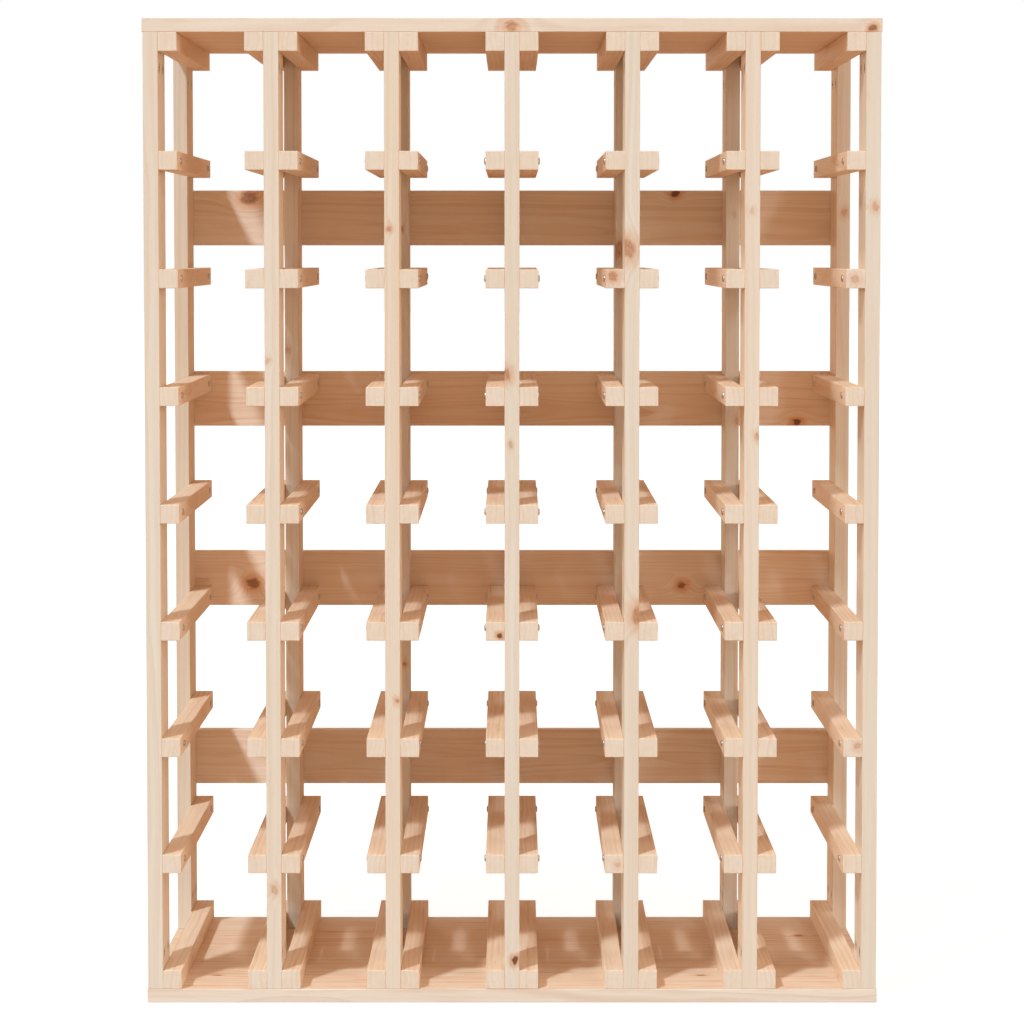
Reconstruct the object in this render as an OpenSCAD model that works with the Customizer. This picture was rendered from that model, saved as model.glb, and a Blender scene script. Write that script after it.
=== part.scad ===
// Free-standing pine rack for bottles that lie on their sides, front to back.
//
// Seven ladder-shaped side frames stand between a top board and a bottom board, and four slats
// across the back hold them square. A frame is a front and a back upright with square rails on
// its sides. A bottle rests on the two rails that face each other across a column.
//
// Units are millimetres. X runs to the right, Y to the back and Z up. The origin is on the floor,
// in the middle of the rack's width and depth.

/* [Bottle places] */
// Number of bottle columns
columns = 6; // [2:1:8]
// Number of bottle levels
levels = 8; // [6:1:12]
// Clear width between the uprights of a column
cell_w = 87.5; // [82:0.5:110]
// Clear height between one rail and the next
cell_h = 82.5; // [78:0.5:110]

/* [Side frames] */
// Depth of the side frames and of the two boards
frame_d = 288; // [220:1:340]
// Thickness of an upright, across the rack
upright_t = 12.5; // [11:0.5:20]
// Depth of an upright, front to back
upright_d = 52.5; // [48:0.5:70]
// Side of the square rails
rail_s = 15.75; // [14:0.25:20]

/* [Boards] */
// Thickness of the top and bottom boards
board_t = 11.5; // [10:0.5:20]
// How far the boards reach past the outer uprights on each side
board_overhang = 0.75; // [0:0.25:10]

/* [Back slats] */
// Number of slats
slat_count = 4; // [2:1:4]
// Height of a slat
slat_h = 50.5; // [40:0.5:60]
// Thickness of a slat
slat_t = 12; // [11:0.5:18]
// Distance from the top of the rack to the first slat, and from the last slat to the floor
slat_from_end = 137; // [60:1:140]

/* [Rail screws] */
// Diameter of the screw shank
screw_shank_dia = 3.5; // [3:0.5:4]
// How far the screw goes into the upright
screw_grip = 5.25; // [4:0.25:5.25]
// Diameter of the pan head
screw_head_dia = 5.8; // [5:0.1:7]
// Height of the pan head
screw_head_h = 1.4; // [1:0.1:2]

/* [Board bolts] */
// Diameter of the bolt shank
bolt_dia = 5; // [4:0.5:6]
// Diameter of the countersunk bolt head
bolt_head_dia = 10; // [8:0.5:11]
// Height of the countersunk bolt head
bolt_head_h = 2.8; // [2:0.1:4]
// Diameter of a barrel nut
nut_dia = 9; // [8:0.5:10]
// Distance from the end of an upright to the barrel nut's axis
nut_from_end = 29; // [24:0.5:40]
// Distance from the edge of an upright to the bolt's axis
bolt_inset = 13; // [10:0.5:16]

/* [Slat screws] */
// Diameter of the countersunk head
slat_screw_head_dia = 7; // [6:0.5:8]
// Length of the whole screw
slat_screw_len = 30; // [24:1:30]
// Height between the two screws of one crossing
slat_screw_spacing = 26; // [16:1:28]

/* [Hidden] */
$fn = 48;

// Side frames and overall size
frames = columns + 1;
frame_pitch = cell_w + upright_t;
frames_w = columns * frame_pitch + upright_t;
board_w = frames_w + 2 * board_overhang;
rail_pitch = cell_h + rail_s;
upright_h = levels * rail_pitch + rail_s;
rack_d = frame_d + slat_t;
rack_h = upright_h + 2 * board_t;
slat_pitch = (rack_h - 2 * slat_from_end - slat_h) / (slat_count - 1);

// Planes that many pieces share
front_y = -rack_d / 2;
frame_back_y = front_y + frame_d;
upright_z = board_t;

// Clearance round a fixing in its bore, and how far a cutting shape runs past a face
fit = 0.05;
cut = 1;

// Screws: length under the head, flat middle and edge of the pan head, countersink, cross recess
screw_len = rail_s + screw_grip;
screw_head_flat_dia = 2.4;
screw_head_edge_h = 0.4;
countersink_h = 2.2;
cross_len = 3;
cross_w = 0.8;
cross_h = 0.9;

// Bolts and barrel nuts: hexagon socket, length of bolt past the nut's axis, screwdriver slot
socket_dia = 3.5;
socket_h = 1.8;
bolt_past_nut = 3;
slot_w = 1.2;
slot_h = 0.8;

// Dowels
dowel_dia = 6;
dowel_in_rail = 10;

// Depths, from the front, of what repeats at the front and back uprights
upright_starts = [0, frame_d - upright_d];
bolt_ys = [for (start = upright_starts, inset = [bolt_inset, upright_d - bolt_inset])
    front_y + start + inset];
screw_ys = [for (start = upright_starts) front_y + start + upright_d / 2];

left_stacks = [for (c = [1:columns]) str("column_", c, "_left_rails")];
right_stacks = [for (c = [1:columns]) str("column_", c, "_right_rails")];
front_uprights = [for (f = [1:frames]) str("front_upright_", f)];
back_uprights = [for (f = [1:frames]) str("back_upright_", f)];
slats = [for (s = [1:slat_count]) str("back_slat_", s)];
screw_sets = [for (f = [1:frames]) str("rail_screws_", f)];
slat_screw_sets = [for (s = [1:slat_count]) str("slat_screws_", s)];

// Centre of side frame f across the rack
function frame_x(f) = (f - 1 - columns / 2) * frame_pitch;

// Underside of the rails on rail row r, where row 0 lies on the bottom board
function rail_z(r) = upright_z + r * rail_pitch;

// Centre line of slat s, counted from the top
function slat_z(s) = rack_h / 2 + ((slat_count + 1) / 2 - s) * slat_pitch;

// The side of a frame that carries rails: -1 is its left side and 1 its right side
function rail_sides(f) = f == 1 ? [1] : f == frames ? [-1] : [-1, 1];

// A cylinder of diameter dia along X, from x = 0 towards side
module across(dia, len, side = 1) {
    rotate([0, side * 90, 0]) cylinder(d = dia, h = len);
}

// One board, with its bolts' countersinks on the face at z = 0 and its body above that face
module board() {
    difference() {
        translate([-board_w / 2, front_y, 0]) cube([board_w, frame_d, board_t]);
        for (f = [1:frames], y = bolt_ys) translate([frame_x(f), y, 0]) {
            translate([0, 0, -cut]) cylinder(d = bolt_dia + 2 * fit, h = board_t + 2 * cut);
            countersunk(bolt_head_dia + 2 * fit, bolt_dia + 2 * fit, bolt_head_h);
        }
    }
}

// A countersunk head, flat face at z = 0, which narrows upwards from dia to shank_dia
module countersunk(dia, shank_dia, head_h) {
    rotate_extrude() polygon([[0, 0], [dia / 2, 0], [shank_dia / 2, head_h], [0, head_h]]);
}

module top_board() {
    color("bisque") translate([0, 0, rack_h]) mirror([0, 0, 1]) board();
}

module bottom_board() {
    color("bisque") board();
}

// The upright of frame f that starts at the depth start, bored for its fixings
module upright(f, start) {
    centre_y = front_y + start + upright_d / 2;
    difference() {
        translate([frame_x(f) - upright_t / 2, front_y + start, upright_z])
            cube([upright_t, upright_d, upright_h]);
        for (inset = [bolt_inset, upright_d - bolt_inset], end = [0, 1])
            translate([frame_x(f), front_y + start + inset, rack_h / 2]) mirror([0, 0, end])
                bolt_bores();
        for (side = rail_sides(f)) {
            for (r = [1:levels - 1])
                translate([frame_x(f) + side * (upright_t / 2 + cut), centre_y, rail_z(r) + rail_s / 2])
                    across(screw_shank_dia + 2 * fit, screw_len - rail_s + cut + fit, -side);
            for (r = [0, levels])
                translate([frame_x(f) - side * fit, centre_y, rail_z(r) + rail_s / 2])
                    across(dowel_dia + 2 * fit, upright_t / 2 + fit + cut, side);
        }
    }
}

// Bores for one bolt and its barrel nut at the lower end of an upright, from mid-height
module bolt_bores() {
    end_z = -upright_h / 2;
    translate([0, 0, end_z - cut])
        cylinder(d = bolt_dia + 2 * fit, h = nut_from_end + bolt_past_nut + cut + fit);
    translate([-upright_t / 2 - cut, 0, end_z + nut_from_end])
        across(nut_dia + 2 * fit, upright_t + 2 * cut);
}

module front_upright(f) {
    color("blanchedalmond") upright(f, upright_starts[0]);
}

// Back upright, which also takes the slat screws
module back_upright(f) {
    color("wheat") difference() {
        upright(f, upright_starts[1]);
        for (s = [1:slat_count], end = [-1, 1])
            translate([frame_x(f), frame_back_y + cut, slat_z(s) + end * slat_screw_spacing / 2])
                rotate([90, 0, 0])
                    cylinder(d = screw_shank_dia + 2 * fit, h = slat_screw_len - slat_t + cut + fit);
    }
}

// The nine rails on one side of frame f, each bored at both uprights
module rails(f, side) {
    color("navajowhite") for (r = [0:levels]) difference() {
        translate([frame_x(f) + side * (upright_t + rail_s) / 2 - rail_s / 2, front_y, rail_z(r)])
            cube([rail_s, frame_d, rail_s]);
        for (y = screw_ys)
            translate([frame_x(f) + side * (upright_t / 2 - cut), y, rail_z(r) + rail_s / 2])
                if (r == 0 || r == levels) across(dowel_dia + 2 * fit, dowel_in_rail + cut + fit, side);
                else across(screw_shank_dia + 2 * fit, rail_s + 2 * cut, side);
    }
}

// A cross recess that goes up from z = 0
module cross_recess() {
    for (turn = [0, 90]) rotate([0, 0, turn])
        translate([-cross_len / 2, -cross_w / 2, -cut]) cube([cross_len, cross_w, cross_h + cut]);
}

// One pan-head screw along +X, with the underside of its head at x = 0
module rail_screw() {
    flat_r = screw_head_flat_dia / 2;
    round_r = screw_head_dia / 2 - flat_r;
    round_h = screw_head_h - screw_head_edge_h;
    shank_r = screw_shank_dia / 2;
    rotate([0, 90, 0]) difference() {
        rotate_extrude() polygon(concat(
            [[0, screw_len], [shank_r, screw_len - screw_shank_dia], [shank_r, 0], [screw_head_dia / 2, 0]],
            [for (a = [0:15:90]) [flat_r + round_r * cos(a), -screw_head_edge_h - round_h * sin(a)]],
            [[0, -screw_head_h]]
        ));
        translate([0, 0, -screw_head_h]) cross_recess();
    }
}

// All the rail screws of frame f
module rail_screws(f) {
    color("silver") for (side = rail_sides(f), r = [1:levels - 1], y = screw_ys)
        translate([frame_x(f) + side * (upright_t / 2 + rail_s), y, rail_z(r) + rail_s / 2])
            rotate([0, 0, side > 0 ? 180 : 0]) rail_screw();
}

// Slat s across the back, counted from the top, countersunk for its screws
module back_slat(s) {
    color("burlywood") difference() {
        translate([-frames_w / 2, frame_back_y, slat_z(s) - slat_h / 2]) cube([frames_w, slat_t, slat_h]);
        for (f = [1:frames], end = [-1, 1])
            translate([frame_x(f), frame_back_y + slat_t, slat_z(s) + end * slat_screw_spacing / 2])
                rotate([90, 0, 0]) {
                    translate([0, 0, -cut])
                        cylinder(d = screw_shank_dia + 2 * fit, h = slat_t + 2 * cut);
                    countersunk(slat_screw_head_dia + 2 * fit, screw_shank_dia + 2 * fit, countersink_h);
                }
    }
}

// One countersunk screw along +Z, with the face of its head at z = 0
module slat_screw() {
    difference() {
        rotate_extrude() polygon([
            [0, 0], [slat_screw_head_dia / 2, 0], [screw_shank_dia / 2, countersink_h],
            [screw_shank_dia / 2, slat_screw_len - screw_shank_dia], [0, slat_screw_len]
        ]);
        cross_recess();
    }
}

// All the screws of slat s
module slat_screws(s) {
    color("silver") for (f = [1:frames], end = [-1, 1])
        translate([frame_x(f), frame_back_y + slat_t, slat_z(s) + end * slat_screw_spacing / 2])
            rotate([90, 0, 0]) slat_screw();
}

// One barrel nut along X, centred, with a bore for the bolt and a slot in each end
module barrel_nut() {
    difference() {
        translate([-upright_t / 2, 0, 0]) across(nut_dia, upright_t);
        cylinder(d = bolt_dia + 2 * fit, h = nut_dia + 2 * cut, center = true);
        for (end = [-1, 1]) translate([end * upright_t / 2, 0, 0])
            cube([2 * slot_h, nut_dia + 2 * cut, slot_w], center = true);
    }
}

// The barrel nuts at the top and bottom ends of all uprights
module barrel_nuts() {
    color("slategray") for (f = [1:frames], y = bolt_ys, end = [-1, 1])
        translate([frame_x(f), y, rack_h / 2 + end * (upright_h / 2 - nut_from_end)]) barrel_nut();
}

// One countersunk bolt along +Z, with the face of its head at z = 0
module bolt() {
    difference() {
        union() {
            countersunk(bolt_head_dia, bolt_dia, bolt_head_h);
            cylinder(d = bolt_dia, h = board_t + nut_from_end + bolt_past_nut);
        }
        translate([0, 0, -cut]) cylinder(d = socket_dia, h = socket_h + cut, $fn = 6);
    }
}

module bottom_bolts() {
    color("silver") for (f = [1:frames], y = bolt_ys) translate([frame_x(f), y, 0]) bolt();
}

module top_bolts() {
    color("silver") for (f = [1:frames], y = bolt_ys)
        translate([frame_x(f), y, rack_h]) mirror([0, 0, 1]) bolt();
}

// The dowels that join the top and bottom rails to the uprights
module rail_dowels() {
    color("tan") for (f = [1:frames], y = screw_ys, r = [0, levels]) {
        sides = rail_sides(f);
        start = sides[0] < 0 ? -upright_t / 2 - dowel_in_rail : 0;
        stop = sides[len(sides) - 1] > 0 ? upright_t / 2 + dowel_in_rail : 0;
        translate([frame_x(f) + start, y, rail_z(r) + rail_s / 2]) across(dowel_dia, stop - start);
    }
}

top_board();
bottom_board();
for (f = [1:frames]) {
    front_upright(f);
    back_upright(f);
    rail_screws(f);
}
for (c = [1:columns]) {
    rails(c, 1);
    rails(c + 1, -1);
}
for (s = [1:slat_count]) {
    back_slat(s);
    slat_screws(s);
}
barrel_nuts();
top_bolts();
bottom_bolts();
rail_dowels();
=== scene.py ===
import math
import random

import bmesh
import bpy
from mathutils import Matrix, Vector


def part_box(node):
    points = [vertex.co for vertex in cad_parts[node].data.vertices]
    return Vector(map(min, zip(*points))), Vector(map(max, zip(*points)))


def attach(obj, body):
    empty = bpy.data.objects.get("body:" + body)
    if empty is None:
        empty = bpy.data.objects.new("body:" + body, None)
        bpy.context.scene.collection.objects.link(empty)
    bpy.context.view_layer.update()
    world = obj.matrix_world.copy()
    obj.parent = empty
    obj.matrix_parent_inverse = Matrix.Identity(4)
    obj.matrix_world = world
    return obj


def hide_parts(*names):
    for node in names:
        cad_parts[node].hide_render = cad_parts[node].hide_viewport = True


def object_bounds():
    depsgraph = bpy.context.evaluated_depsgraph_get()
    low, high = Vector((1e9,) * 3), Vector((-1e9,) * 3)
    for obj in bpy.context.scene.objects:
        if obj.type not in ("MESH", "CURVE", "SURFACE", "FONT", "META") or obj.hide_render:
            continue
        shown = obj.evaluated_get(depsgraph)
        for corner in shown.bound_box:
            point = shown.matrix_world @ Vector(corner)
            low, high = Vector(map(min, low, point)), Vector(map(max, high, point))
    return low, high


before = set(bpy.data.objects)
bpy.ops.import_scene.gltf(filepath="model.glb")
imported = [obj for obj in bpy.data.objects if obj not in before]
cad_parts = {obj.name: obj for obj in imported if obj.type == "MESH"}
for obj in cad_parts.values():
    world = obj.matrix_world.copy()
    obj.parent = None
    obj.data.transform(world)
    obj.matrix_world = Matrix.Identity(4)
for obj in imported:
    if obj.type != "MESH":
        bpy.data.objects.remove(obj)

CAD_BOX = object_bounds()
MM = 0.001
X, Y, Z = 0, 1, 2

# Camera: just above the third row of rails from the top, with a long lens, a slight tilt and a small
# shift that brings the rack back to the middle of the picture.
CAMERA_DISTANCE = 2.615
CAMERA_HEIGHT = 0.6317
CAMERA_TILT = 3.07
CAMERA_SENSOR = 36.0
CAMERA_LENS = 110.42
CAMERA_SHIFT = -0.09

# Lights: (name, degrees left of the front, degrees up, strength, softness in degrees, colour, shines
# in gloss). The rear light grazes the tops of the rails, where it would glare, so it skips gloss.
SUNS = (
    ("key_light", 32.5, 47.0, 2.2, 5.0, (0.80, 0.95, 1.03), True),
    ("key_glow", 48.0, 14.0, 0.32, 40.0, (0.80, 0.95, 1.03), True),
    ("fill_light", -39.5, 40.5, 0.35, 8.0, (0.88, 1.0, 1.05), True),
    ("right_light", -55.0, 8.0, 0.85, 28.0, (0.95, 0.92, 0.84), True),
    ("rear_light", 168.0, 2.0, 2.0, 4.0, (0.86, 0.97, 0.99), False),
)
SUN_DISTANCE = 3.0
# The light all round is warm. It turns paler towards the sides and towards the top, over these spans
# of how far a direction points sideways or up: 1 is straight sideways or straight up.
AMBIENT_WARM = (0.61, 0.33, 0.175)
AMBIENT_SIDE = (0.60, 0.54, 0.48)
AMBIENT_TOP = (0.58, 0.54, 0.50)
SIDE_SPAN = (0.6, 0.9)
TOP_SPAN = (0.55, 0.85)
WHITE = (1.0, 1.0, 1.0, 1.0)
FLOOR_SIZE = 60.0
FLOOR_PARTS = 4
FLOOR_DROP = 0.2 * MM
FLOOR_COLOUR = (0.25, 0.25, 0.25)
FLOOR_ROUGHNESS = 0.9
FLOOR_GLOW = 0.86

# Timber: outer edges are eased by a light sanding, and the boards are glued up from staves.
EDGE_RADIUS = 0.55 * MM
EDGE_SEGMENTS = 3
STAVE_WIDTH = 48.0 * MM
LOG_LENGTH = 60.0
# Mesh limits: corners closer than WELD are one, an edge whose middle is within TOUCH of a side of the
# piece's box lies on it, and CUT is the tolerance of a cut between staves. A face looks along an axis
# when that part of its normal is over FACING.
WELD = 0.002 * MM
TOUCH = 0.01 * MM
CUT = 0.001 * MM
SHARP_ANGLE = math.radians(35)
FLAT_ANGLE = math.radians(0.3)
FACING = 0.9

# Pine colours in linear light: pale early wood, amber late wood, and how strongly resin streaks show.
PINE_TONES = {
    "pine_boards": ((0.86, 0.81, 0.745), (0.69, 0.53, 0.40), 1.3),
    "pine_uprights": ((0.83, 0.79, 0.72), (0.72, 0.60, 0.47), 0.2),
    "pine_rails": ((0.86, 0.79, 0.71), (0.73, 0.57, 0.43), 0.45),
    # The slats' paler tones are painted light: they lift the shade that the slats stand in at the back.
    "pine_slats": ((0.92, 0.90, 0.87), (0.77, 0.63, 0.50), 0.4),
}
# How each kind is sawn: how far the pith lies from the middle across the thin side, from and to, and
# how far along the wide side at most, all in mm. Then how warm the wood is, from and to.
SAWN = {
    "pine_boards": (12.0, 35.0, 65.0, 0.8, 1.2),
    "pine_uprights": (18.0, 42.0, 14.0, 0.5, 1.1),
    "pine_rails": (34.0, 60.0, 5.0, 0.9, 1.2),
    "pine_slats": (14.0, 28.0, 16.0, 0.7, 1.0),
}
# The share of that warmth on ends, and on the narrow edges of some members. Other faces have it all.
# Partly painted light: ends and narrow edges stay pale like lit fronts, wide faces warm like wood in
# shade.
END_WARMTH = 0.15
EDGE_WARMTH = {"top_board": 0.15, "bottom_board": 0.15, "front_upright": 0.25, "back_upright": 0.4}
# What the coolest and the warmest wood do to the colour.
COOL_TINT = (0.82, 0.88, 0.91)
WARM_TINT = (1.04, 0.90, 0.77)
# How strongly late wood shows: in the coolest wood, and what warmth adds to it.
RING_CONTRAST = 0.35
WARM_CONTRAST = 0.45

# Growth rings: their width, how fast the log tapers, how noise makes them uneven (its scale and its
# reach in rings), and the faintest a ring's late wood can be.
RING_WIDTH = 4.2 * MM
TAPER = 0.007
UNEVEN_SCALE = 130.0
UNEVEN_REACH = 1.3
FAINTEST_RING = 0.35
# How a ring darkens from its early wood to its late wood, as (share of the ring, late wood).
LATE_WOOD = ((0.0, 0.0), (0.4, 0.1), (0.78, 0.8), (0.9, 1.0), (0.985, 0.0))

# Noises in the wood: cycles per metre across, across and along the log, the detail, the roughness.
# The first two push the grain about, by up to half their reach in metres.
BEND_NOISE = ((26.0, 26.0, 5.0), 2.0)
BEND_REACH = (0.009, 0.009, 0.009)
RAGGED_NOISE = ((360.0, 360.0, 130.0), 3.0)
RAGGED_REACH = (0.0035, 0.0035, 0.008)
BROAD_NOISE = ((18.0, 18.0, 2.2), 2.0)
STREAK_NOISE = ((150.0, 150.0, 3.5), 3.0, 0.6)
FIBRE_NOISE = ((1500.0, 1500.0, 22.0), 2.0, 0.6)
PORE_NOISE = ((900.0, 900.0, 45.0), 1.0)
RESIN_NOISE = ((420.0, 420.0, 11.0), 3.0, 0.65)
CRACK_NOISE = ((620.0, 620.0, 260.0), 3.0)
# What they do to the colour: the noise values between which a stain sets in, how much of it there is
# at most, and its tint.
BROAD_STAIN = (0.3, 0.75, 0.5, (0.98, 0.91, 0.84))
STREAK_STAIN = (0.35, 0.75, 0.45, (0.94, 0.87, 0.79))
FIBRE_STAIN = (0.3, 0.75, 0.2, (0.92, 0.88, 0.84))
PORE_STAIN = (0.66, 0.8, 0.18, (0.70, 0.55, 0.42))
RESIN_SPAN = (0.54, 0.70)
RESIN_TINT = (0.82, 0.60, 0.48)
CRACK_SPAN = (0.44, 0.62)
END_SHARE = 0.4
END_TINT = (0.97, 0.95, 0.92)
# The wood's gloss, and what fibres, late wood and end grain add to its roughness.
WOOD_ROUGHNESS = 0.42
FIBRE_ROUGHNESS = 0.16
LATE_ROUGHNESS = -0.06
END_ROUGHNESS = 0.15
WOOD_SPECULAR = 0.35
# Raised grain: the height of a fibre and of late wood, then the strength and the depth of the relief.
FIBRE_HEIGHT = 0.7
LATE_HEIGHT = 0.3
WOOD_RELIEF = (0.35, 0.25 * MM)

# Knots are longer along the log. Rings swing out round one by so many of its radii, and less with
# distance. Its stain and its core cover the wood from one distance inwards to another, in its radii.
KNOT_SHAPE = (1.0, 1.0, 0.78)
SMALLEST_KNOT = 0.01 * MM
KNOT_SWING = 1.9
KNOT_FADE = -0.16
KNOT_STAIN = (2.8, 0.5, 0.0, 1.6)
KNOT_STAIN_TINT = (0.90, 0.66, 0.51)
KNOT_COVER = (1.2, 0.6, 0.0, 1.2)
SOUND_CORE = (0.52, 0.25, 0.13)
DEAD_CORE = (0.17, 0.07, 0.04)
CRACK_SHARE = 0.65
CRACK_COLOUR = (0.20, 0.085, 0.045)

# Plated steel: the colour of each finish and its smoothest and roughest spots, then the noises in its
# gloss, their shares, the values between which they roughen it, and the relief.
SCREW_STEEL = ((0.54, 0.54, 0.55), 0.32, 0.50)
NUT_ZINC = ((0.50, 0.50, 0.51), 0.34, 0.56)
SPANGLE_NOISE = ((1400.0, 1400.0, 1400.0), 3.0, 0.6)
PATCH_NOISE = ((90.0, 90.0, 90.0), 2.0)
SPANGLE_SHARE = 0.6
PATCH_SHARE = 0.4
METAL_SPAN = (0.3, 0.7)
METAL_RELIEF = (0.15, 0.1 * MM)

# Dowel rod: pale and darker bands, and short dark flecks.
FLECK_NOISE = ((1600.0, 1600.0, 260.0), 2.0, 0.6)
FLECK_SPAN = (0.58, 0.72, 0.0, 0.6)
BAND_NOISE = ((300.0, 300.0, 30.0), 2.0)
BAND_SPAN = (0.3, 0.7)
BEECH_PALE = (0.60, 0.42, 0.27)
BEECH_DARK = (0.52, 0.34, 0.21)
BEECH_FLECK = (0.30, 0.17, 0.10)
BEECH_GLOSS = (0.2, 0.8, 0.45, 0.65)
BEECH_RELIEF = (0.2, 0.1 * MM)

# Knots and other marks, as (x, y, z) shares of the piece's own box, the radius in mm, and how
# dark it is: 1 is a dead black knot, 0 a sound red one, and -1 nothing that can be seen.
UPRIGHT_MARKS = {
    2: ((0.5, 0.0, 0.105, 3.2, -0.3), (0.2, 0.0, 0.661, 2.2, -0.5)),
    3: ((0.35, 0.0, 0.797, 2.2, 0.1), (0.7, 0.0, 0.304, 2.2, 0.1), (1.0, 0.6, 0.345, 3.0, 0.4)),
    4: ((0.1, 0.0, 0.647, 4.0, 0.1), (0.3, 0.0, 0.574, 2.2, -0.4), (0.75, 0.0, 0.03, 2.8, 1.0)),
    5: ((0.3, 0.0, 0.776, 6.5, 0.15), (0.95, 0.0, 0.393, 6.0, 0.2)),
    6: ((0.5, 0.0, 0.815, 2.2, -0.6), (0.9, 0.0, 0.582, 2.6, -0.2)),
    7: ((0.6, 0.0, 0.818, 3.0, -0.2),),
}
MARKS = {
    "top_board": ((0.5, 0.0, 0.5, 5.0, 0.1), (0.985, 0.0, 0.4, 2.5, 0.5)),
    "bottom_board": (
        (0.922, 0.714, 1.0, 3.2, 0.4),
        (0.761, 0.17, 1.0, 3.0, 0.3),
        (0.088, 0.17, 1.0, 3.0, 0.3),
    ),
    "back_slat_1": ((0.105, 0.0, 0.88, 6.0, 0.4), (0.744, 0.0, 0.95, 3.2, 0.8)),
    "back_slat_2": ((0.931, 0.0, 0.06, 3.2, 0.8),),
    "back_slat_3": ((0.109, 0.0, 0.4, 5.0, 0.5), (0.758, 0.0, 0.36, 3.4, 0.5)),
    "column_3_right_rail_4": ((0.69, 0.0, 0.22, 2.6, 1.0),),
    "column_4_right_rail_7": ((0.35, 0.0, 0.6, 4.4, 0.2),),
    "column_4_right_rail_2": ((0.7, 0.0, 0.5, 2.4, -0.4),),
    "column_6_right_rail_7": ((0.5, 0.0, 0.5, 3.4, -0.3),),
    "column_6_right_rail_3": ((0.8, 0.0, 0.6, 3.0, -0.3),),
}
for number, marks in UPRIGHT_MARKS.items():
    MARKS["front_upright_%d" % number] = marks
    MARKS["back_upright_%d" % number] = marks
MOST_MARKS = 3

dice = random.Random(4207)


class Graph:
    """The node tree of a material or a world, with short calls that each add one node and wire it up."""

    def __init__(self, owner):
        owner.use_nodes = True
        self.owner = owner
        self.tree = owner.node_tree
        self.shader = self.tree.nodes.get("Principled BSDF")

    def feed(self, socket, value):
        if isinstance(value, bpy.types.NodeSocket):
            self.tree.links.new(value, socket)
        else:
            socket.default_value = value

    def node(self, kind, *values, **settings):
        made = self.tree.nodes.new(kind)
        for name, value in settings.items():
            setattr(made, name, value)
        for socket, value in zip(made.inputs, values):
            self.feed(socket, value)
        return made

    def math(self, operation, *values):
        return self.node("ShaderNodeMath", *values, operation=operation).outputs[0]

    def vector(self, operation, *values):
        made = self.node("ShaderNodeVectorMath", *values, operation=operation)
        return made.outputs["Value" if operation == "LENGTH" else "Vector"]

    def noise(self, place, scale, detail, roughness=0.5):
        made = self.node("ShaderNodeTexNoise", self.vector("MULTIPLY", place, scale))
        made.inputs["Scale"].default_value = 1.0
        made.inputs["Detail"].default_value = detail
        made.inputs["Roughness"].default_value = roughness
        return made

    def stirred(self, place, seed, noise, reach):
        """A place pushed about by noise, by up to half the reach each way."""
        push = self.vector("SUBTRACT", self.noise(seed, *noise).outputs["Color"], (0.5, 0.5, 0.5))
        return self.vector("ADD", place, self.vector("MULTIPLY", push, reach))

    def span(self, value, low, high, out_low=0.0, out_high=1.0):
        made = self.node("ShaderNodeMapRange", value, low, high, out_low, out_high)
        made.interpolation_type = "SMOOTHSTEP"
        return made.outputs[0]

    def mix(self, share, a, b, blend="MIX"):
        made = self.node("ShaderNodeMix", data_type="RGBA", blend_type=blend)
        self.feed(made.inputs["Factor"], share)
        for name, value in (("A", a), ("B", b)):
            socket = [s for s in made.inputs if s.name == name and s.type == "RGBA"][0]
            self.feed(socket, value if isinstance(value, bpy.types.NodeSocket) else (*value, 1.0))
        return [s for s in made.outputs if s.type == "RGBA"][0]

    def stained(self, colour, value, low, high, most, tint):
        """A colour with a tint that sets in as a value rises from low to high."""
        return self.mix(self.span(value, low, high, 0.0, most), colour, tint, "MULTIPLY")

    def ramp(self, value, stops):
        made = self.node("ShaderNodeValToRGB", value)
        band = made.color_ramp
        while len(band.elements) < len(stops):
            band.elements.new(0.5)
        for element, (position, grey) in zip(band.elements, stops):
            element.position = position
            element.color = (grey, grey, grey, 1.0)
        return made.outputs["Color"]

    def attribute(self, name, kind="GEOMETRY"):
        return self.node("ShaderNodeAttribute", attribute_name=name, attribute_type=kind)

    def bump(self, height, strength, distance):
        made = self.node("ShaderNodeBump")
        made.inputs["Strength"].default_value = strength
        made.inputs["Distance"].default_value = distance
        self.feed(made.inputs["Height"], height)
        self.feed(self.shader.inputs["Normal"], made.outputs[0])


def knots_of(graph, place):
    """For each knot, a point's distance from it in knot radii, and its radius."""
    found = []
    for number in range(MOST_MARKS):
        centre = graph.attribute("mark_%d" % (number + 1), "OBJECT")
        away = graph.vector("SUBTRACT", place, centre.outputs["Vector"])
        away = graph.vector("LENGTH", graph.vector("MULTIPLY", away, KNOT_SHAPE))
        radius = graph.math("MAXIMUM", centre.outputs["Alpha"], SMALLEST_KNOT)
        found.append((graph.math("DIVIDE", away, radius), centre.outputs["Alpha"]))
    return found


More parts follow.
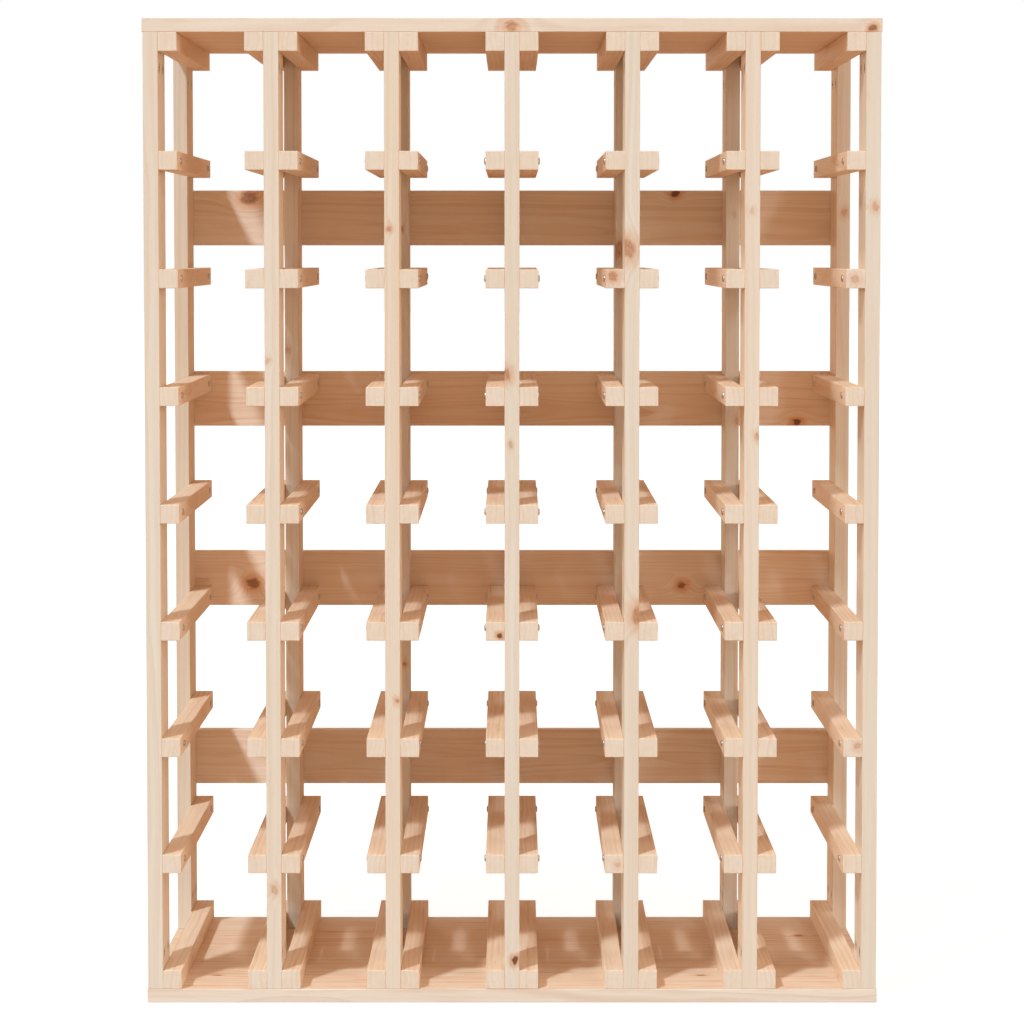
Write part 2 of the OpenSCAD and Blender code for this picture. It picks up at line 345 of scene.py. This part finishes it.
def rings_of(graph, place, knots):
    """How much late wood there is at a point: 0 is pale early wood, and 1 is amber late wood."""
    parts = graph.node("ShaderNodeSeparateXYZ", place)
    flat = graph.node("ShaderNodeCombineXYZ", parts.outputs["X"], parts.outputs["Y"]).outputs[0]
    reach = graph.vector("LENGTH", flat)
    reach = graph.math("MULTIPLY_ADD", parts.outputs["Z"], TAPER, reach)
    for distance, radius in knots:
        near = graph.math("MULTIPLY", graph.math("POWER", distance, 2.0), KNOT_FADE)
        near = graph.math("MULTIPLY", graph.math("EXPONENT", near), radius)
        reach = graph.math("MULTIPLY_ADD", near, KNOT_SWING, reach)
    count = graph.math("DIVIDE", reach, RING_WIDTH)
    uneven = graph.node("ShaderNodeTexNoise", noise_dimensions="1D")
    graph.feed(uneven.inputs["W"], graph.math("MULTIPLY", reach, UNEVEN_SCALE))
    uneven.inputs["Detail"].default_value = 1.0
    count = graph.math("MULTIPLY_ADD", uneven.outputs[0], UNEVEN_REACH, count)
    late = graph.ramp(graph.math("FRACT", count), LATE_WOOD)
    vigour = graph.node("ShaderNodeTexWhiteNoise", noise_dimensions="1D")
    graph.feed(vigour.inputs["W"], graph.math("FLOOR", count))
    vigour = graph.math("MULTIPLY_ADD", vigour.outputs["Value"], 1.0 - FAINTEST_RING, FAINTEST_RING)
    return graph.math("MULTIPLY", late, vigour)


def knotted(graph, colour, knots, crack):
    """Stains the wood round each knot, and paints its core, redder or darker, with dark cracks."""
    shades = graph.attribute("mark_shades", "OBJECT").outputs["Vector"]
    shades = graph.node("ShaderNodeSeparateXYZ", shades).outputs
    for (distance, _), shade in zip(knots, shades):
        force = graph.math("MULTIPLY_ADD", shade, 0.5, 0.5)
        stain = graph.math("MULTIPLY", graph.span(distance, *KNOT_STAIN), force)
        colour = graph.mix(stain, colour, KNOT_STAIN_TINT, "MULTIPLY")
        core = graph.mix(shade, SOUND_CORE, DEAD_CORE)
        core = graph.mix(graph.math("MULTIPLY", crack, CRACK_SHARE), core, CRACK_COLOUR)
        cover = graph.math("MULTIPLY", graph.span(distance, *KNOT_COVER), force)
        colour = graph.mix(cover, colour, core)
    return colour


def pine(name, pale, amber, resin):
    """Sawn and sanded pine, worked out in the log's own coordinates, so rings run through each piece."""
    graph = Graph(bpy.data.materials.new(name))
    place = graph.attribute("grain").outputs["Vector"]
    warmth = graph.attribute("warmth").outputs["Fac"]
    end = graph.attribute("end_grain").outputs["Fac"]
    bent = graph.stirred(place, place, BEND_NOISE, BEND_REACH)
    ragged = graph.stirred(bent, place, RAGGED_NOISE, RAGGED_REACH)
    late = rings_of(graph, bent, knots_of(graph, bent))
    fibre = graph.noise(place, *FIBRE_NOISE).outputs[0]

    # Warmth is the wood's own tone, and per face also painted light: pale ends and edges, warm wide
    # faces.
    contrast = graph.math("MULTIPLY_ADD", warmth, WARM_CONTRAST, RING_CONTRAST)
    colour = graph.mix(graph.math("MULTIPLY", late, contrast), pale, amber)
    colour = graph.mix(1.0, colour, graph.mix(warmth, COOL_TINT, WARM_TINT), "MULTIPLY")
    colour = graph.stained(colour, graph.noise(place, *BROAD_NOISE).outputs[0], *BROAD_STAIN)
    colour = graph.stained(colour, graph.noise(bent, *STREAK_NOISE).outputs[0], *STREAK_STAIN)
    colour = graph.stained(colour, fibre, *FIBRE_STAIN)
    colour = graph.stained(colour, graph.noise(place, *PORE_NOISE).outputs[0], *PORE_STAIN)
    sap = graph.span(graph.noise(bent, *RESIN_NOISE).outputs[0], *RESIN_SPAN)
    sap = graph.math("MULTIPLY", sap, graph.math("MULTIPLY", warmth, resin))
    colour = graph.mix(sap, colour, RESIN_TINT, "MULTIPLY")
    colour = graph.mix(graph.math("MULTIPLY", end, END_SHARE), colour, END_TINT, "MULTIPLY")
    crack = graph.span(graph.noise(place, *CRACK_NOISE).outputs[0], *CRACK_SPAN)
    colour = knotted(graph, colour, knots_of(graph, ragged), crack)
    graph.feed(graph.shader.inputs["Base Color"], colour)

    rough = graph.math("MULTIPLY_ADD", fibre, FIBRE_ROUGHNESS, WOOD_ROUGHNESS)
    rough = graph.math("MULTIPLY_ADD", late, LATE_ROUGHNESS, rough)
    rough = graph.math("MULTIPLY_ADD", end, END_ROUGHNESS, rough)
    graph.feed(graph.shader.inputs["Roughness"], rough)
    height = graph.math("MULTIPLY_ADD", fibre, FIBRE_HEIGHT, graph.math("MULTIPLY", late, LATE_HEIGHT))
    graph.bump(height, *WOOD_RELIEF)
    graph.shader.inputs["Specular IOR Level"].default_value = WOOD_SPECULAR
    return graph.owner


def plated_steel(name, colour, smoothest, roughest):
    """Zinc-plated steel: fine spangle and tumbling marks in the gloss."""
    graph = Graph(bpy.data.materials.new(name))
    place = graph.node("ShaderNodeTexCoord").outputs["Object"]
    spangle = graph.noise(place, *SPANGLE_NOISE).outputs[0]
    patch = graph.noise(place, *PATCH_NOISE).outputs[0]
    gloss = graph.math("MULTIPLY_ADD", patch, PATCH_SHARE, graph.math("MULTIPLY", spangle, SPANGLE_SHARE))
    graph.shader.inputs["Base Color"].default_value = (*colour, 1.0)
    graph.shader.inputs["Metallic"].default_value = 1.0
    graph.feed(graph.shader.inputs["Roughness"], graph.span(gloss, *METAL_SPAN, smoothest, roughest))
    graph.bump(spangle, *METAL_RELIEF)
    return graph.owner


def beech(name):
    """Dowel rod: short brown flecks on even pinkish wood."""
    graph = Graph(bpy.data.materials.new(name))
    place = graph.node("ShaderNodeTexCoord").outputs["Object"]
    fleck = graph.noise(place, *FLECK_NOISE).outputs[0]
    band = graph.noise(place, *BAND_NOISE).outputs[0]
    colour = graph.mix(graph.span(band, *BAND_SPAN), BEECH_PALE, BEECH_DARK)
    colour = graph.mix(graph.span(fleck, *FLECK_SPAN), colour, BEECH_FLECK)
    graph.feed(graph.shader.inputs["Base Color"], colour)
    graph.feed(graph.shader.inputs["Roughness"], graph.span(fleck, *BEECH_GLOSS))
    graph.bump(fleck, *BEECH_RELIEF)
    return graph.owner


class Log:
    """The part of a tree that a member was sawn from: its axes, its pith and its place along the log."""

    def __init__(self, low, high, along, deep, wide, slot):
        nearest, farthest, sideways, palest, warmest = SAWN[slot]
        self.middle = (low + high) / 2
        self.axes = (deep, wide, along)
        away = dice.choice((-1, 1)) * dice.uniform(nearest, farthest) * MM
        aside = dice.uniform(-sideways, sideways) * MM
        self.start = Vector((away, aside, dice.uniform(0.0, LOG_LENGTH)))
        self.warmth = dice.uniform(palest, warmest)

    def grain_at(self, point):
        own = point - self.middle
        return self.start + Vector([own[axis] for axis in self.axes])


def box_of(mesh):
    """Lowest and highest corner of a bmesh."""
    low = Vector([min(v.co[axis] for v in mesh.verts) for axis in range(3)])
    high = Vector([max(v.co[axis] for v in mesh.verts) for axis in range(3)])
    return low, high


def welded(node):
    """The CAD node's mesh with its split corners joined and its flat faces made whole again."""
    mesh = bmesh.new()
    mesh.from_mesh(node.data)
    bmesh.ops.remove_doubles(mesh, verts=mesh.verts, dist=WELD)
    bmesh.ops.dissolve_limit(mesh, angle_limit=FLAT_ANGLE, verts=mesh.verts, edges=mesh.edges)
    return mesh


def islands(mesh):
    """Splits a mesh into its separate solids, from the lowest to the highest."""
    mesh.verts.index_update()
    left = set(mesh.verts)
    found = []
    while left:
        group = set()
        waiting = [next(iter(left))]
        while waiting:
            vert = waiting.pop()
            if vert not in group:
                group.add(vert)
                waiting.extend(edge.other_vert(vert) for edge in vert.link_edges)
        left -= group
        kept = {vert.index for vert in group}
        piece = mesh.copy()
        others = [vert for vert in piece.verts if vert.index not in kept]
        bmesh.ops.delete(piece, geom=others, context="VERTS")
        found.append(piece)
    mesh.free()
    return sorted(found, key=lambda piece: box_of(piece)[0].z)


def ease_edges(mesh):
    """Rounds the outer edges, as sanding does, and leaves the holes crisp."""
    low, high = box_of(mesh)
    chosen = []
    for edge in mesh.edges:
        middle = (edge.verts[0].co + edge.verts[1].co) / 2
        sides = sum(min(middle[a] - low[a], high[a] - middle[a]) < TOUCH for a in range(3))
        if sides >= 2 and edge.calc_face_angle(0.0) > SHARP_ANGLE:
            chosen.append(edge)
    bmesh.ops.bevel(
        mesh,
        geom=chosen,
        offset=EDGE_RADIUS,
        segments=EDGE_SEGMENTS,
        profile=0.5,
        affect="EDGES",
        clamp_overlap=True,
    )


def cut_staves(mesh, low, wide, step, staves):
    """Cuts the faces where two staves meet, so that each face belongs to one stave."""
    across = Vector([1.0 if axis == wide else 0.0 for axis in range(3)])
    for number in range(1, staves):
        cut = low + across * step * number
        geometry = [*mesh.verts, *mesh.edges, *mesh.faces]
        bmesh.ops.bisect_plane(mesh, geom=geometry, dist=CUT, plane_co=cut, plane_no=across)


def edge_warmth_of(name):
    """The share of its warmth that a member has on its narrow edges: below 1 paints them pale, as lit
    fronts look.
    """
    for start, share in EDGE_WARMTH.items():
        if name.startswith(start):
            return share
    return 1.0


def write_grain(mesh, log_for, along, wide, edge_warmth):
    """Stores where each corner was in its log, how warm its wood is, and which faces show end grain."""
    grain = mesh.loops.layers.float_vector.new("grain")
    warmth = mesh.faces.layers.float.new("warmth")
    end = mesh.faces.layers.float.new("end_grain")
    mesh.normal_update()
    for face in mesh.faces:
        log = log_for(face.calc_center_median())
        is_end = abs(face.normal[along]) > FACING
        # Ends and narrow edges keep only a share of the warmth: painted light, pale as the lit fronts
        # look.
        share = 1.0
        if is_end:
            share = END_WARMTH
        elif abs(face.normal[wide]) > FACING:
            share = edge_warmth
        face[warmth] = log.warmth * share
        face[end] = 1.0 if is_end else 0.0
        for corner in face.loops:
            corner[grain] = log.grain_at(corner.vert.co)


def set_marks(piece, name, low, high, log_for):
    """Gives a piece its knots, in its log's coordinates."""
    size = high - low
    shades = [0.0] * MOST_MARKS
    for number, (x, y, z, radius, shade) in enumerate(MARKS.get(name, ())):
        point = low + Vector((x * size.x, y * size.y, z * size.z))
        piece["mark_%d" % (number + 1)] = [*log_for(point).grain_at(point), radius * MM]
        shades[number] = shade
    piece["mark_shades"] = shades


def shade_smoothly(mesh):
    """Lets light run smoothly over the eased edges, and keeps the corners of the holes sharp."""
    for face in mesh.faces:
        face.smooth = True
    for edge in mesh.edges:
        edge.smooth = edge.calc_face_angle(0.0) < SHARP_ANGLE


def make_member(mesh, name, node_name, slot, along, deep, wide, staves=1):
    """One piece of timber: eased edges, its own place in a log, its knots and its material."""
    low, high = box_of(mesh)
    logs = [Log(low, high, along, deep, wide, slot) for _ in range(staves)]
    step = (high[wide] - low[wide]) / staves

    def log_for(point):
        return logs[min(staves - 1, max(0, int((point[wide] - low[wide]) / step)))]

    ease_edges(mesh)
    cut_staves(mesh, low, wide, step, staves)
    write_grain(mesh, log_for, along, wide, edge_warmth_of(name))
    shade_smoothly(mesh)

    data = bpy.data.meshes.new(name)
    mesh.to_mesh(data)
    mesh.free()
    piece = bpy.data.objects.new(name + ("_pine" if name == node_name else ""), data)
    bpy.context.scene.collection.objects.link(piece)
    data.materials.append(PINES[slot])
    normals = piece.modifiers.new("normals", "WEIGHTED_NORMAL")
    normals.keep_sharp = True
    set_marks(piece, name, low, high, log_for)
    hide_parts(node_name)
    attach(piece, "root")


def make_timber():
    """Every board, upright, slat and rail, each as a piece of its own."""
    for name in ("top_board", "bottom_board"):
        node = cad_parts[name]
        low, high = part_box(name)
        staves = round((high.y - low.y) / STAVE_WIDTH)
        make_member(welded(node), name, name, "pine_boards", along=X, deep=Z, wide=Y, staves=staves)
    for name, node in sorted(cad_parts.items()):
        if "_upright_" in name:
            make_member(welded(node), name, name, "pine_uprights", along=Z, deep=X, wide=Y)
        elif name.startswith("back_slat_"):
            make_member(welded(node), name, name, "pine_slats", along=X, deep=Y, wide=Z)
        elif name.endswith("_rails"):
            for number, rail in enumerate(islands(welded(node)), start=1):
                rail_name = "%s_%d" % (name[:-1], number)
                make_member(rail, rail_name, name, "pine_rails", along=Y, deep=X, wide=Z)


def dress_fittings():
    """The metal and the dowels keep their CAD shapes and get their finishes."""
    steel = plated_steel("screw_steel", *SCREW_STEEL)
    zinc = plated_steel("nut_zinc", *NUT_ZINC)
    rod = beech("dowel_wood")
    finishes = {"screws": steel, "bolts": steel, "barrel_nuts": zinc, "rail_dowels": rod}
    for name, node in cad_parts.items():
        for word, finish in finishes.items():
            if word in name:
                node.data.materials.clear()
                node.data.materials.append(finish)


def make_camera():
    """The camera stands in front of the rack's middle and looks slightly down."""
    data = bpy.data.cameras.new("camera")
    data.sensor_width = CAMERA_SENSOR
    data.lens = CAMERA_LENS
    data.shift_y = CAMERA_SHIFT
    camera = bpy.data.objects.new("camera", data)
    camera.location = (0.0, CAD_BOX[0].y - CAMERA_DISTANCE, CAMERA_HEIGHT)
    camera.rotation_euler = (math.radians(90.0 - CAMERA_TILT), 0.0, 0.0)
    bpy.context.scene.collection.objects.link(camera)
    bpy.context.scene.camera = camera


def make_sun(name, left, elevation, strength, softness, colour, shines):
    """A far, soft light that comes from so many degrees left of the front, and so high."""
    data = bpy.data.lights.new(name, "SUN")
    data.energy = strength
    data.angle = math.radians(softness)
    data.color = colour
    sun = bpy.data.objects.new(name, data)
    turn = math.radians(left)
    rise = math.radians(elevation)
    source = Vector((-math.sin(turn) * math.cos(rise), -math.cos(turn) * math.cos(rise), math.sin(rise)))
    sun.rotation_euler = source.to_track_quat("Z", "Y").to_euler()
    sun.location = source * SUN_DISTANCE
    sun.visible_glossy = shines
    bpy.context.scene.collection.objects.link(sun)


def make_world():
    """White behind the rack, and a softer light on it from all round."""
    world = Graph(bpy.data.worlds.new("studio"))
    world.tree.nodes.clear()
    parts = world.node("ShaderNodeSeparateXYZ", world.node("ShaderNodeTexCoord").outputs["Generated"])
    sideways = world.math("ABSOLUTE", parts.outputs["X"])
    colour = world.mix(world.span(sideways, *SIDE_SPAN), AMBIENT_WARM, AMBIENT_SIDE)
    colour = world.mix(world.span(parts.outputs["Z"], *TOP_SPAN), colour, AMBIENT_TOP)
    soft = world.node("ShaderNodeBackground", colour).outputs[0]
    white = world.node("ShaderNodeBackground", WHITE).outputs[0]
    seen = world.node("ShaderNodeLightPath").outputs["Is Camera Ray"]
    world.node("ShaderNodeOutputWorld", world.node("ShaderNodeMixShader", seen, soft, white).outputs[0])
    bpy.context.scene.world = world.owner


def make_floor():
    """A plain white floor that keeps only a faint shadow."""
    mesh = bmesh.new()
    bmesh.ops.create_grid(mesh, x_segments=FLOOR_PARTS, y_segments=FLOOR_PARTS, size=FLOOR_SIZE / 2)
    data = bpy.data.meshes.new("floor")
    mesh.to_mesh(data)
    mesh.free()
    floor = bpy.data.objects.new("floor", data)
    floor.location.z = -FLOOR_DROP
    bpy.context.scene.collection.objects.link(floor)
    paper = Graph(bpy.data.materials.new("floor_paper"))
    paper.shader.inputs["Base Color"].default_value = (*FLOOR_COLOUR, 1.0)
    paper.shader.inputs["Roughness"].default_value = FLOOR_ROUGHNESS
    paper.shader.inputs["Emission Color"].default_value = WHITE
    paper.shader.inputs["Emission Strength"].default_value = FLOOR_GLOW
    data.materials.append(paper.owner)
    floor.visible_diffuse = False
    floor.visible_glossy = False


PINES = {slot: pine(slot, *tones) for slot, tones in PINE_TONES.items()}

make_camera()
make_world()
make_floor()
for sun in SUNS:
    make_sun(*sun)
make_timber()
dress_fittings()
bpy.context.scene.view_settings.view_transform = "Standard"
